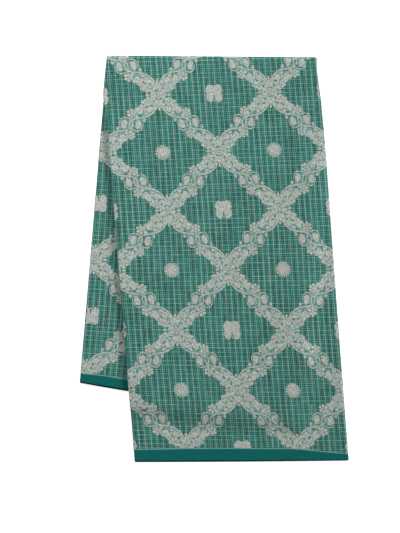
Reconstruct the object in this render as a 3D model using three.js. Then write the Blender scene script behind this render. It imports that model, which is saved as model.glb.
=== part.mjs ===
// A folded saree, laid flat on a table. One woven length is folded to a strip of sixteen layers,
// and the strip is laid over itself: a long front fall on top of a shorter back fall.
// Millimetres. +X runs across the strip, +Y up the falls to the fold, +Z up from the table.
// The origin is under the middle of the whole part.
import * as THREE from "three";

// The cloth and the way it is folded
const CLOTH_LENGTH = 5500; // woven length
const HALVINGS = 4; // times that the length is folded in half
const LAYERS = 2 ** HALVINGS; // layers in one fall
const STRIP = CLOTH_LENGTH / LAYERS; // width of the folded strip
const LAYER = 0.375; // one layer, with the air that the folding holds
const STACK = LAYERS * LAYER; // thickness of one fall
const FOLD_RADIUS = 7; // outer radius of the turn at the top

// The walls
const WALL = 1.2; // thickness of a stretch of the outer layer
const SEAM = 0.3; // clear distance between two solids
const COVER = WALL + SEAM; // depth at which the hidden layers begin

// The lie of the two falls
const FOLD_Y = 326.5; // the fold's furthest line, over the origin
const FOLD_TILT = -0.008; // its fall for each millimetre to the right
const BACK_CORNERS = { left: -172.6, right: 165.5 }; // where the back fall's sides meet the fold
const BACK_LEAN = Math.tan(THREE.MathUtils.degToRad(4.79)); // its lean to the left, for each millimetre down
const BACK_DROP = { left: 528.2, right: 569.8, bow: 4.5 }; // fold to hem, at either side and bowed between
const FRONT_DROP = { left: 655.4, right: 650.2, bow: 0.6 };
const BRIDGE = 12; // the front fall runs on level this far past the back fall's edges
const SETTLE = 34; // and comes down to the table in this further run
const FOLD_RELAX = 85; // run in which the puffed turn thins out to two pressed falls

// The front fall's sides, at distances down from the fold. The leaf side fans out over the first 70 mm.
const FRONT_SIDES = [
  { down: 0, left: -172.8, right: 165.9 },
  { down: 8, left: -173.4, right: 164.9 },
  { down: 68, left: -178.5, right: 171.7 },
  { down: 92, left: -173.4, right: 174 },
  { down: 150, left: -168.6, right: 179.4 },
  { down: 300, left: -157.2, right: 190.7 },
  { down: 450, left: -144.8, right: 201.7 },
  { down: 655, left: -128.2, right: 217.6 },
];

// The plain woven border's width, by the share of the way across from the leaf side
const FRONT_BORDER_WIDTHS = [
  { share: 0, width: 17.6 },
  { share: 0.3, width: 19.2 },
  { share: 0.72, width: 17.8 },
  { share: 0.9, width: 11.8 },
  { share: 1, width: 8.6 },
];
const BACK_BORDER_WIDTHS = [
  { share: 0, width: 12.8 },
  { share: 0.15, width: 16 },
  { share: 1, width: 16 },
];

// Each fall's lower edge: the layers end in steps, the ones next to the seen layer first.
const HEM_STEPS = [
  { short: 1.9, missing: 0 },
  { short: 1.3, missing: 0 },
  { short: 1.2, missing: 0.25 },
  { short: 0.7, missing: 0.25 },
  { short: 0.6, missing: 0.5 },
  { short: 0, missing: 0.5 },
];
const SEEN_SHORT = 2.2; // the seen layer ends this far short of the lowest one

// The leaf side: the bights of the folded bundles, by their share of the open depth and their reach.
const LEAVES = [
  { from: 0, to: 0.3, reach: 0.3 },
  { from: 0.3, to: 0.72, reach: -0.5 },
  { from: 0.72, to: 1, reach: 0.1 },
];
const LEAF_NOTCH = 1.4; // how far in the cloth goes between two leaves
const LEAF_FLAT = 0.5; // share of a leaf's thickness that its rounded edge leaves upright
const LEAF_ROLL = 2; // outer radius of the seen layer's own bight on the leaf side
const CLOSED_ROLL = STACK / 2; // and round the closed side, which one bight holds shut
const CLOSED_END = -60; // degrees: where that bight's wall stops, below the level of its middle
const CORNER = 0.6; // how round the hidden layers are behind a bight, as a share of the step there

// How finely the solids are drawn
const ACROSS_STEPS = 18;
const FRONT_STEPS = 22;
const BACK_STEPS = 5;
const TURN_STEPS = 8;
const ROLL_STEP = 30; // degrees

const { clamp, degToRad, lerp, smoothstep } = THREE.MathUtils;

// ---- The lie of the cloth ---------------------------------------------------------------------

// A value of a table's column between its rows, on a curve that never swings past them.
function between(rows, column, key, at) {
  const last = rows.length - 2;
  const slope = (i) =>
    (rows[i + 1][column] - rows[i][column]) / (rows[i + 1][key] - rows[i][key]);
  const tangent = (i) => {
    if (i === 0 || i === rows.length - 1) return slope(Math.min(i, last));
    const before = slope(i - 1);
    const after = slope(i);
    return before * after <= 0 ? 0 : (2 * before * after) / (before + after);
  };
  let i = 0;
  while (i < last && at > rows[i + 1][key]) i += 1;
  const run = rows[i + 1][key] - rows[i][key];
  const t = clamp((at - rows[i][key]) / run, 0, 1);
  const rise = rows[i + 1][column] - rows[i][column];
  return (
    rows[i][column] +
    rise * t * t * (3 - 2 * t) +
    run * t * (1 - t) * (tangent(i) * (1 - t) - tangent(i + 1) * t)
  );
}

// Fold to hem, at a share of the way across.
function dropAt(drop, share) {
  return lerp(drop.left, drop.right, share) + 4 * drop.bow * share * (1 - share);
}

const foldY = (x) => FOLD_Y + FOLD_TILT * x;

// How high the front fall's underside lies: on the back fall, or past its edges, down on the table.
function liftAt(x, y) {
  const down = foldY(x) - y;
  const left = BACK_CORNERS.left - BACK_LEAN * down;
  const right = BACK_CORNERS.right - BACK_LEAN * down;
  const share = clamp((x - left) / (right - left), 0, 1);
  const settled = (past) => smoothstep(past, BRIDGE, BRIDGE + SETTLE);
  const pastSide = settled(x - right);
  const pastHem = settled(down - dropAt(BACK_DROP, share));
  return (STACK + SEAM) * (1 - pastSide) * (1 - pastHem);
}

const FALLS = {
  front: {
    drop: FRONT_DROP,
    borderWidths: FRONT_BORDER_WIDTHS,
    sideX: (side, down) => between(FRONT_SIDES, side, "down", down),
    height: (x, y, depth) => {
      const puff = 2 * FOLD_RADIUS - 2 * STACK - SEAM;
      const relaxed = smoothstep(foldY(x) - y, FOLD_RADIUS, FOLD_RELAX);
      return STACK + liftAt(x, y) + puff * (1 - relaxed) - depth;
    },
  },
  back: {
    drop: BACK_DROP,
    borderWidths: BACK_BORDER_WIDTHS,
    sideX: (side, down) => BACK_CORNERS[side] - BACK_LEAN * down,
    height: (x, y, depth) => depth,
  },
};

// Fold to the upper line of the seen border
function borderAt(fall, share) {
  const width = between(fall.borderWidths, "width", "share", clamp(share, 0, 1));
  return dropAt(fall.drop, share) - SEEN_SHORT - width;
}

// A place down the middle of a fall, carried across it: rows run with the fold at the top, with the
// border's upper line further down, and with the hem below that.
function rowAt(fall, share, down) {
  const marks = (at) => [FOLD_RADIUS, borderAt(fall, at), dropAt(fall.drop, at)];
  const middle = marks(0.5);
  const here = marks(share);
  const part = down <= middle[1] ? 0 : 1;
  const t = (down - middle[part]) / (middle[part + 1] - middle[part]);
  return lerp(here[part], here[part + 1], t);
}

// A point of a fall: across the strip from the leaf side, down from the fold along the middle, and
// in from the outer layer's outer face.
function fallPoint(fall, across, down, depth) {
  const share = across / STRIP;
  const here = rowAt(fall, share, down);
  const x = lerp(fall.sideX("left", here), fall.sideX("right", here), share);
  const y = foldY(x) - here;
  return new THREE.Vector3(x, y, fall.height(x, y, depth));
}

// A point of the turn over the top, at degrees from the back fall (-90) over the fold to the front (90).
function turnPoint(across, angle, depth) {
  const share = across / STRIP;
  const radius = FOLD_RADIUS - depth;
  const here = FOLD_RADIUS - radius * Math.cos(degToRad(angle));
  const x = lerp(
    between(FRONT_SIDES, "left", "down", here),
    between(FRONT_SIDES, "right", "down", here),
    share,
  );
  return new THREE.Vector3(
    x,
    foldY(x) - here,
    FOLD_RADIUS + radius * Math.sin(degToRad(angle)),
  );
}

// ---- Sections across the strip ----------------------------------------------------------------

// One section across the outer layer, rolled under at its sides: the outer face out and the inner face back.
function wallSection(closedRoll) {
  const face = (inset) => {
    const points = [];
    for (let angle = 0; angle < 90; angle += ROLL_STEP) {
      const radius = LEAF_ROLL - inset;
      points.push({
        across: LEAF_ROLL - radius * Math.cos(degToRad(angle)),
        depth: LEAF_ROLL - radius * Math.sin(degToRad(angle)),
      });
    }
    const flatTo = STRIP - CLOSED_ROLL;
    for (let i = 0; i <= ACROSS_STEPS; i += 1)
      points.push({
        across: lerp(LEAF_ROLL, flatTo, i / ACROSS_STEPS),
        depth: inset,
      });
    for (
      let angle = 90 - ROLL_STEP;
      closedRoll && angle >= CLOSED_END;
      angle -= ROLL_STEP
    ) {
      const radius = CLOSED_ROLL - inset;
      points.push({
        across: flatTo + radius * Math.cos(degToRad(angle)),
        depth: CLOSED_ROLL - radius * Math.sin(degToRad(angle)),
      });
    }
    return points;
  };
  return [...face(0), ...face(WALL).reverse()];
}

// The inner layer of the back fall lies the other way up, so its section is turned over.
function innerSection() {
  return wallSection(false).map(({ across, depth }) => ({
    across,
    depth: STACK - depth,
  }));
}

// One section across the hidden layers, from outer to inner depth. Behind a wall's own bight they
// step back on the leaf side.
function hiddenSection({ outer, inner, outerWall, innerWall }) {
  const points = [];
  const flatTo = STRIP - CLOSED_ROLL;
  const thin = (inner - outer) / (STACK - COVER);
  for (let i = 0; i <= ACROSS_STEPS; i += 1)
    points.push({
      across: lerp(LEAF_ROLL, flatTo, i / ACROSS_STEPS),
      depth: outer,
    });
  for (let angle = 90 - ROLL_STEP; angle >= CLOSED_END; angle -= ROLL_STEP) {
    const radius = CLOSED_ROLL - COVER;
    points.push({
      across: flatTo + thin * radius * Math.cos(degToRad(angle)),
      depth: outer + thin * radius * (1 - Math.sin(degToRad(angle))),
    });
  }
  for (let i = ACROSS_STEPS; i >= 0; i -= 1)
    points.push({
      across: lerp(LEAF_ROLL, flatTo - SEAM, i / ACROSS_STEPS),
      depth: inner,
    });
  // The leaf side, back up to the outer depth
  const behindBight = LEAF_ROLL - WALL;
  const bare = SEAM;
  const low = inner - (innerWall ? behindBight : bare);
  const high = outer + (outerWall ? behindBight : bare);
  points.push({ across: COVER, depth: lerp(inner, low, CORNER) });
  for (const leaf of [...LEAVES].reverse()) {
    const from = lerp(high, low, leaf.from);
    const to = lerp(high, low, leaf.to);
    points.push({ across: LEAF_NOTCH, depth: to });
    points.push({ across: -leaf.reach, depth: lerp(from, to, (1 + LEAF_FLAT) / 2) });
    points.push({ across: -leaf.reach, depth: lerp(from, to, (1 - LEAF_FLAT) / 2) });
  }
  points.push({ across: LEAF_NOTCH, depth: high });
  points.push({ across: COVER, depth: lerp(outer, high, CORNER) });
  return points;
}

// ---- Places down the falls --------------------------------------------------------------------

const steps = (from, to, count) =>
  Array.from({ length: count + 1 }, (_, i) => lerp(from, to, i / count));

const frontDrop = dropAt(FRONT_DROP, 0.5);
const backDrop = dropAt(BACK_DROP, 0.5);
const frontHem = frontDrop - SEEN_SHORT;
const backHem = backDrop - SEEN_SHORT;
const innerTop = FOLD_RADIUS + LEAF_ROLL; // where the back fall's inner layer comes out of the turn

const frontLine = borderAt(FALLS.front, 0.5);
const backLine = borderAt(FALLS.back, 0.5);

// From a seam to the border's seam, and across the border
const fieldPlaces = (start, line, count) => steps(start + SEAM, line - SEAM, count);

const FRONT_FIELD = fieldPlaces(FOLD_RADIUS, frontLine, FRONT_STEPS);
const FRONT_BORDER = [frontLine, frontHem];

// ---- Solids -----------------------------------------------------------------------------------

// A closed solid through rings of points. The section closes both ends. Each four-sided face is split
// from its leaf side to its closed side, so that two layers that lie on each other have the same facets.
function loft(rings, sections) {
  const count = rings[0].length;
  const positions = rings.flat().flatMap((point) => point.toArray());
  const faces = [];
  for (let ring = 0; ring < rings.length - 1; ring += 1)
    for (let i = 0; i < count; i += 1) {
      const next = (i + 1) % count;
      const a = ring * count + i;
      const b = ring * count + next;
      if (sections[0][i].across < sections[0][next].across)
        faces.push([a, b, b + count], [a, b + count, a + count]);
      else faces.push([a, b, a + count], [b, b + count, a + count]);
    }
  const cap = (section, first, turned) => {
    const outline = section.map(
      ({ across, depth }) => new THREE.Vector2(across, depth),
    );
    for (const [a, b, c] of THREE.ShapeUtils.triangulateShape(outline, []))
      faces.push(turned ? [first + a, first + c, first + b] : [first + a, first + b, first + c]);
  };
  const wound = THREE.ShapeUtils.isClockWise(
    sections[0].map(({ across, depth }) => new THREE.Vector2(across, depth)),
  );
  cap(sections[0], 0, !wound);
  cap(sections[1], (rings.length - 1) * count, wound);
  const geometry = new THREE.BufferGeometry();
  geometry.setAttribute(
    "position",
    new THREE.Float32BufferAttribute(positions, 3),
  );
  geometry.setIndex(outward(positions, faces).flat());
  geometry.computeVertexNormals();
  return geometry;
}

// The faces as they are, or all turned round where they enclose a negative volume.
function outward(positions, faces) {
  const at = (i) => new THREE.Vector3().fromArray(positions, 3 * i);
  const volume = faces.reduce(
    (sum, [a, b, c]) => sum + at(a).dot(at(b).clone().cross(at(c))),
    0,
  );
  return volume < 0 ? faces.map(([a, b, c]) => [a, c, b]) : faces;
}

const fallRing = (fall, down, section) =>
  section.map(({ across, depth }) => fallPoint(fall, across, down, depth));

const turnRing = (angle, section) =>
  section.map(({ across, depth }) => turnPoint(across, angle, depth));

// A stretch of one layer along a fall, with a ring at each of these places down it.
function stretch(fall, section, places) {
  const rings = places.map((down) => fallRing(fall, down, section));
  return loft(rings, [section, section]);
}

// The outer layer over the top fold.
function turn(section) {
  const rings = steps(-90, 90, TURN_STEPS).map((angle) => turnRing(angle, section));
  return loft(rings, [section, section]);
}

// All the layers in between: up the back fall, over the turn and down the front fall.
function hiddenLayers() {
  const rings = [];
  const sections = [];
  const add = (section, ring) => {
    sections.push(section);
    rings.push(ring);
  };
  const backInner = STACK - COVER;
  for (const { short, missing } of [...HEM_STEPS].reverse()) {
    const inner = lerp(backInner, COVER, missing);
    const section = hiddenSection({ outer: COVER, inner, outerWall: true, innerWall: false });
    add(section, fallRing(FALLS.back, backDrop - short, section));
  }
  const under = hiddenSection({ outer: COVER, inner: backInner, outerWall: true, innerWall: true });
  for (const down of [backHem, ...steps(backLine, innerTop, BACK_STEPS)])
    add(under, fallRing(FALLS.back, down, under));
  const full = hiddenSection({ outer: COVER, inner: STACK, outerWall: true, innerWall: false });
  for (const angle of steps(-90, 90, TURN_STEPS))
    add(full, turnRing(angle, full));
  for (const down of [...FRONT_FIELD, ...FRONT_BORDER])
    add(full, fallRing(FALLS.front, down, full));
  for (const { short, missing } of HEM_STEPS) {
    const outer = lerp(COVER, STACK, missing);
    const section = hiddenSection({ outer, inner: STACK, outerWall: false, innerWall: false });
    add(section, fallRing(FALLS.front, frontDrop - short, section));
  }
  return loft(rings, [sections[0], sections.at(-1)]);
}

// ---- The part ---------------------------------------------------------------------------------

const FIELD_CLOTH = { color: 0x66897f, roughness: 0.82, metalness: 0 };
const BORDER_CLOTH = { color: 0x0f5b58, roughness: 0.7, metalness: 0 };

const saree = new THREE.Group();
saree.name = "saree";

function addPiece(name, geometry, finish) {
  const mesh = new THREE.Mesh(
    geometry,
    new THREE.MeshStandardMaterial(finish),
  );
  mesh.name = name;
  saree.add(mesh);
}

const outerWall = wallSection(true);
const innerWall = innerSection();

addPiece("front_field", stretch(FALLS.front, outerWall, FRONT_FIELD), FIELD_CLOTH);
addPiece("front_border", stretch(FALLS.front, outerWall, FRONT_BORDER), BORDER_CLOTH);
addPiece("fold_turn", turn(outerWall), FIELD_CLOTH);
addPiece(
  "back_field",
  stretch(FALLS.back, innerWall, fieldPlaces(innerTop, backLine, BACK_STEPS)),
  FIELD_CLOTH,
);
addPiece(
  "back_border",
  stretch(FALLS.back, innerWall, [backLine, backHem]),
  BORDER_CLOTH,
);
addPiece(
  "under_field",
  stretch(FALLS.back, outerWall, fieldPlaces(FOLD_RADIUS, backLine, BACK_STEPS)),
  FIELD_CLOTH,
);
addPiece(
  "under_border",
  stretch(FALLS.back, outerWall, [backLine, backDrop]),
  BORDER_CLOTH,
);
addPiece("hidden_layers", hiddenLayers(), FIELD_CLOTH);

export default saree;
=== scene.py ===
# %% [markdown]
# # A folded saree, laid flat
#
# A saree is one woven length of cloth, about five and a half metres long. Folded in half four times it
# becomes a strip of sixteen layers, and the strip is then laid over itself at the top: a long front fall on
# a shorter back fall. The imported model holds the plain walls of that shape. This script dresses them: thin
# shells of checked cloth on the same surface, a brocade trellis woven over them, a plain border along each
# hem, and the edges of the folded layers between.

import math
import random

import bmesh
import bpy
from mathutils import Matrix, Vector


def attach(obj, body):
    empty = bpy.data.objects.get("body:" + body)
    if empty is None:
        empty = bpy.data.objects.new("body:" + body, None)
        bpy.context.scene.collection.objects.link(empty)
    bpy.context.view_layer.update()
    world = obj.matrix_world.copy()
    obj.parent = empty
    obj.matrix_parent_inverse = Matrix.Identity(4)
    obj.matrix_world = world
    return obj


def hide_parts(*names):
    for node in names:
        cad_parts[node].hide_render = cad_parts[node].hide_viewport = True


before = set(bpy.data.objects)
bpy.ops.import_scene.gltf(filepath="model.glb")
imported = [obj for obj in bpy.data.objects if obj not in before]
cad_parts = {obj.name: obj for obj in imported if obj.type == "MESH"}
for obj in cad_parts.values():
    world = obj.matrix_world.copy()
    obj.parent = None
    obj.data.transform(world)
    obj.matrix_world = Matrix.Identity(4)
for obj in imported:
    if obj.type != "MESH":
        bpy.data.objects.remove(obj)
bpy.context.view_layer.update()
MM = 0.001
print("nodes:", sorted(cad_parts))

# %% [markdown]
# ## The camera
#
# The cloth lies on a table and is looked at from straight above. A long lens far away keeps the sides of
# the strip straight, as a product picture does. The picture is upright, so the lens's 36 mm lie along its
# height.

# %% Camera
PICTURE_PIXELS = (400, 533)
SCALE = 1.61 * MM  # one pixel of the picture on the cloth
LENS_MM = 100
SENSOR_MM = 36
PICTURE_CENTRE = (-22.9 * MM, -12.2 * MM)
CLOTH_TOP = 8 * MM

camera_data = bpy.data.cameras.new("camera")
camera_data.lens = LENS_MM
camera_data.sensor_width = SENSOR_MM
camera = bpy.data.objects.new("camera", camera_data)
bpy.context.scene.collection.objects.link(camera)
camera_distance = PICTURE_PIXELS[1] * SCALE * LENS_MM / SENSOR_MM
camera.location = (*PICTURE_CENTRE, CLOTH_TOP + camera_distance)
bpy.context.scene.camera = camera
print(f"camera {camera_distance:.2f} m above the cloth")

# %% [markdown]
# ## The lie of the cloth
#
# Every piece below is the same cloth on the same surface, so the surface comes first. A place on it is
# given as a tailor would: how far across the strip from the leaf side, how far down from the fold, and how
# deep under the outer face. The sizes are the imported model's own, in millimetres, and each piece is turned
# into metres at the end.

# %% Sizes of the folded strip
STRIP = 5500 / 16  # width of the strip: the length of the cloth, folded in half four times
STACK = 6.0  # its sixteen layers
SEAM = 0.3
FOLD_RADIUS = 7.0
LEAF_ROLL = 2.0  # radius of the seen layer's bight on the leaf side
CLOSED_ROLL = STACK / 2  # radius of the whole stack's bight on the closed side
FOLD_Y, FOLD_TILT = 326.5, -0.008
BACK_CORNERS = (-172.6, 165.5)  # the back fall's two sides at the fold
BACK_LEAN = math.tan(math.radians(4.79))
BACK_DROP = (528.2, 569.8, 4.5)  # fold to hem at the leaf side and the closed side, and its bow
FRONT_DROP = (655.4, 650.2, 0.6)
BRIDGE, SETTLE = 12.0, 34.0  # level past the back fall's edges, and then down to the table
FOLD_RELAX = 85.0  # run in which the puffed turn thins out to two pressed falls
SEEN_SHORT = 2.2  # the seen layer ends this far short of the lowest one

# Columns: distance down from the fold, the leaf side, the closed side.
FRONT_SIDES = [
    (0, -172.8, 165.9),
    (8, -173.4, 164.9),
    (68, -178.5, 171.7),
    (92, -173.4, 174.0),
    (150, -168.6, 179.4),
    (300, -157.2, 190.7),
    (450, -144.8, 201.7),
    (655, -128.2, 217.6),
]
# Columns: share of the way across, width of the plain border there.
FRONT_BORDER_WIDTHS = [(0, 17.6), (0.3, 19.2), (0.72, 17.8), (0.9, 11.8), (1, 8.6)]
BACK_BORDER_WIDTHS = [(0, 12.8), (0.15, 16.0), (1, 16.0)]


# %% Small helpers for values along a table
def lerp(a, b, t):
    return a + (b - a) * t


def clamp_to(value, low, high):
    return min(max(value, low), high)


def ease(value, start, end):
    t = clamp_to((value - start) / (end - start), 0, 1)
    return t * t * (3 - 2 * t)


def between(rows, column, at):
    """A column's value between a table's rows, on a curve that never swings past them."""
    last = len(rows) - 2

    def slope(i):
        return (rows[i + 1][column] - rows[i][column]) / (rows[i + 1][0] - rows[i][0])

    def tangent(i):
        if i in (0, last + 1):
            return slope(min(i, last))
        before, after = slope(i - 1), slope(i)
        return 0 if before * after <= 0 else 2 * before * after / (before + after)

    i = 0
    while i < last and at > rows[i + 1][0]:
        i += 1
    run = rows[i + 1][0] - rows[i][0]
    t = clamp_to((at - rows[i][0]) / run, 0, 1)
    rise = rows[i + 1][column] - rows[i][column]
    bend = tangent(i) * (1 - t) - tangent(i + 1) * t
    return rows[i][column] + rise * t * t * (3 - 2 * t) + run * t * (1 - t) * bend


# %% The two falls in plan
def drop_at(drop, share):
    left, right, bow = drop
    return lerp(left, right, share) + 4 * bow * share * (1 - share)


def fold_y(x):
    return FOLD_Y + FOLD_TILT * x


def front_sides(down):
    return between(FRONT_SIDES, 1, down), between(FRONT_SIDES, 2, down)


def back_sides(down):
    return tuple(corner - BACK_LEAN * down for corner in BACK_CORNERS)


FALLS = {
    "front": (front_sides, FRONT_DROP, FRONT_BORDER_WIDTHS),
    "back": (back_sides, BACK_DROP, BACK_BORDER_WIDTHS),
}


def border_at(fall, share):
    """Fold to the upper line of the seen border."""
    _, drop, widths = FALLS[fall]
    return drop_at(drop, share) - SEEN_SHORT - between(widths, 1, clamp_to(share, 0, 1))


def row_at(fall, share, down):
    """A place down a fall's middle, carried across it along the cloth's rows."""
    drop = FALLS[fall][1]

    def marks(at):
        return FOLD_RADIUS, border_at(fall, at), drop_at(drop, at)

    middle, here = marks(0.5), marks(share)
    part = 0 if down <= middle[1] else 1
    t = (down - middle[part]) / (middle[part + 1] - middle[part])
    return lerp(here[part], here[part + 1], t)


# %% [markdown]
# ## Heights, creases and edges
#
# The front fall lies on the back one and comes down to the table past its edges. Cloth that has been
# pressed and then handled is never quite level, so a few soft creases are listed in a table, and a
# slow swell runs under everything. They fade out towards the underside, which rests flat.

# %% Creases
# Columns: across, down, length, degrees from straight down, width, depth; a ridge's depth is negative.
CREASES = [
    (58, 150, 150, 4, 9, 0.55),
    (118, 320, 210, -3, 13, -0.5),
    (176, 96, 120, 7, 10, 0.45),
    (171, 470, 190, -2, 12, 0.6),
    (236, 210, 240, 3, 14, -0.45),
    (268, 520, 130, -8, 8, 0.5),
    (305, 340, 170, 5, 10, 0.4),
    (92, 560, 110, 12, 9, -0.5),
    (214, 604, 70, 72, 8, 0.4),
    (140, 410, 90, 64, 11, 0.35),
    (262, 402, 60, -58, 9, -0.3),
    (30, 300, 120, -5, 7, 0.4),
]


def crease_depth(across, down):
    total = 0
    for a, d, length, direction, width, depth in CREASES:
        turn = math.radians(direction)
        along = (down - d) * math.cos(turn) + (across - a) * math.sin(turn)
        aside = (across - a) * math.cos(turn) - (down - d) * math.sin(turn)
        total += depth * math.exp(-((2 * along / length) ** 2) - (aside / width) ** 2)
    return total


def swell(across, down):
    slow = math.sin(across / 61 + 0.7) * math.cos(down / 97 + 0.4)
    quick = math.sin(across / 23 + down / 71) * math.sin(down / 39 + 1.3)
    return 0.28 * slow + 0.1 * quick


# %% How high the front fall lies
def lift_at(x, y):
    down = fold_y(x) - y
    left, right = back_sides(down)
    share = clamp_to((x - left) / (right - left), 0, 1)
    past_side = ease(x - right, BRIDGE, BRIDGE + SETTLE)
    past_hem = ease(down - drop_at(BACK_DROP, share), BRIDGE, BRIDGE + SETTLE)
    return (STACK + SEAM) * (1 - past_side) * (1 - past_hem)


def front_height(x, y):
    puff = 2 * FOLD_RADIUS - 2 * STACK - SEAM
    relaxed = ease(fold_y(x) - y, FOLD_RADIUS, FOLD_RELAX)
    return STACK + lift_at(x, y) + puff * (1 - relaxed)


# %% Round the bights, and round the turn
TURN_LENGTH = math.pi * FOLD_RADIUS
UNDER_START = FOLD_RADIUS - TURN_LENGTH  # where the turn ends and the underside starts, as a place down


def rolled(across, depth):
    """Carries a place past either side round the bight there."""
    flat_to = STRIP - CLOSED_ROLL
    if across < LEAF_ROLL:
        angle = (LEAF_ROLL - across) / LEAF_ROLL
        radius = LEAF_ROLL - depth
        return LEAF_ROLL - radius * math.sin(angle), LEAF_ROLL - radius * math.cos(angle)
    if across > flat_to:
        angle = (across - flat_to) / CLOSED_ROLL
        radius = CLOSED_ROLL - depth
        return flat_to + radius * math.sin(angle), CLOSED_ROLL - radius * math.cos(angle)
    return across, depth


def around(down):
    """A place down the back fall as one down the outer layer, and the other way round."""
    return 2 * FOLD_RADIUS - TURN_LENGTH - down


def in_stack(share, down, depth):
    """down is over 7 on the front fall, goes round the turn, and is below -15 on the underside."""
    if down >= FOLD_RADIUS:
        x = lerp(*front_sides(down), share)
        y = fold_y(x) - down
        return x, y, front_height(x, y) - depth
    if down >= UNDER_START:
        angle = math.pi / 2 - (FOLD_RADIUS - down) / FOLD_RADIUS
        radius = FOLD_RADIUS - depth
        here = FOLD_RADIUS - radius * math.cos(angle)
        x = lerp(*front_sides(max(here, 0)), share)
        return x, fold_y(x) - here, FOLD_RADIUS + radius * math.sin(angle)
    here = around(down)
    x = lerp(*back_sides(here), share)
    return x, fold_y(x) - here, depth


# %% A point of the outer layer, and one of the back fall's seen layer
REST_CLEAR = 0.3  # the underside's shell stays this far above the table, for the brocade on it
SIDE_FADE = 0.03  # creases fade towards the sides over this share of the strip,
FOLD_FADE, HEM_FADE = 110, 25  # and over these lengths below the fold and above the hem
FLAT_SHARE = 0.25  # how much of a crease is left where the front fall lies on the table
BACK_SHARE = 0.6  # how deep the back fall's creases are beside the front's
BACK_FADE = (20, 60)  # they start this far below the fold
BACK_RISE = 0.2  # and stand up no more than this, under the front fall


def outer_point(across, down, depth):
    share_across, deep = rolled(across, depth)
    share = share_across / STRIP
    if down < FOLD_RADIUS:
        deep += REST_CLEAR * ease(FOLD_RADIUS - down, TURN_LENGTH / 2, TURN_LENGTH)
    x, y, z = in_stack(share, down, deep)
    if down >= FOLD_RADIUS:
        hem = drop_at(FRONT_DROP, share)
        inside = ease(share, 0, SIDE_FADE) * ease(share, 1, 1 - SIDE_FADE)
        inside *= ease(down, FOLD_RADIUS, FOLD_FADE) * ease(down, hem, hem - HEM_FADE)
        uneven = (crease_depth(across, down) - swell(across, down)) * inside
        z -= uneven * lerp(FLAT_SHARE, 1, lift_at(x, y) / (STACK + SEAM))
    return x, y, z


def inner_point(across, down, depth):
    """The back fall's seen layer: depth goes down from its upper face."""
    share_across, deep = rolled(across, depth)
    share = share_across / STRIP
    x = lerp(*back_sides(down), share)
    inside = ease(share, 0, SIDE_FADE) * ease(down, *BACK_FADE)
    uneven = crease_depth(STRIP - across, down + 60) - swell(across + 40, down)
    front_edge = front_sides(down)[0]
    bare = 1 - ease(x, front_edge - 10, front_edge + 2)
    return x, fold_y(x) - down, STACK - deep - max(BACK_SHARE * uneven * inside, -BACK_RISE) * bare


# %% [markdown]
# ## Where the woven pattern lies
#
# The check and the trellis belong to the cloth, not to the table, so they are placed in the cloth's own
# coordinates: columns across the strip and rows down it. The rows were pulled a little uneven in folding,
# which the tables of rows keep. `front_from_lattice` and `lattice_from_front` go from one to the other, and
# two more functions do the same for the back fall.

# %% The lattice of the brocade
COLUMN_PITCH = 179.3  # from one column of rosettes to the next
ROW_PITCH = 190.0  # the same between rows, as woven
FRONT_COLUMN = -96.8  # the first column on the front, where it meets the fold
FRONT_LEAN = 0.0853
LEAF_PULL = 11.0  # how much wider than woven a whole column lies next to the leaf side, which pulls it out
# Columns: row, distance down the middle, tilt to the right, pull to the right.
FRONT_ROWS = [
    (0, 60.5, -0.034, 1.5),
    (1, 246.9, -0.029, 0.9),
    (2, 441.0, -0.003, -2.2),
    (3, 633.2, 0.0, -0.8),
]
TOP_STEP = 187.0  # from row to row above the first one, over the fold

# The back fall shows the cloth the other way up, so its rows count upwards. Its middle column of crossings
# and blossoms lies at its leaf side. Columns: row, distance down that column, its place from the origin.
BACK_ROWS = [
    (-1.5, 515.1, -207.3),
    (-1, 419.2, -199.6),
    (-0.5, 328.9, -192.6),
    (0, 238.1, -186.2),
    (0.5, 146.9, -181.0),
    (1.5, -35.0, -173.0),
]
BACK_MIDDLE = 0.5
BACK_TILT = 0.05


def front_row(row):
    """Distance down, tilt and pull of a row."""
    if row < 0:
        return FRONT_ROWS[0][1] + TOP_STEP * row, *FRONT_ROWS[0][2:]
    if row > FRONT_ROWS[-1][0]:
        return FRONT_ROWS[-1][1] + ROW_PITCH * (row - FRONT_ROWS[-1][0]), *FRONT_ROWS[-1][2:]
    return tuple(between(FRONT_ROWS, k, row) for k in (1, 2, 3))


def row_rise(tilt, column):
    return tilt * COLUMN_PITCH * (column - 0.5) / (1 - tilt * FRONT_LEAN)


def front_from_lattice(column, row):
    middle, tilt, pull = front_row(row)
    down = middle + row_rise(tilt, column)
    straight = FRONT_COLUMN + COLUMN_PITCH * column + pull + LEAF_PULL * min(column, 0)
    if down >= FOLD_RADIUS:
        left, right = front_sides(down)
        x = straight + FRONT_LEAN * down
        return STRIP * (x - left) / (right - left), down
    left, right = BACK_CORNERS
    return STRIP * (straight + FRONT_LEAN * FOLD_RADIUS - left) / (right - left), down


def lattice_from_front(across, down):
    share = across / STRIP
    if down >= FOLD_RADIUS:
        left, right = front_sides(down)
        straight = lerp(left, right, share) - FRONT_LEAN * down
    else:
        straight = lerp(*BACK_CORNERS, share) - FRONT_LEAN * FOLD_RADIUS
    row = (down - FRONT_ROWS[0][1]) / ROW_PITCH
    for _ in range(5):
        middle, tilt, pull = front_row(row)
        from_column = straight - FRONT_COLUMN - pull
        column = from_column / (COLUMN_PITCH + (LEAF_PULL if from_column < 0 else 0))
        row += (down - middle - row_rise(tilt, column)) / ROW_PITCH
    return column, row


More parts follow.
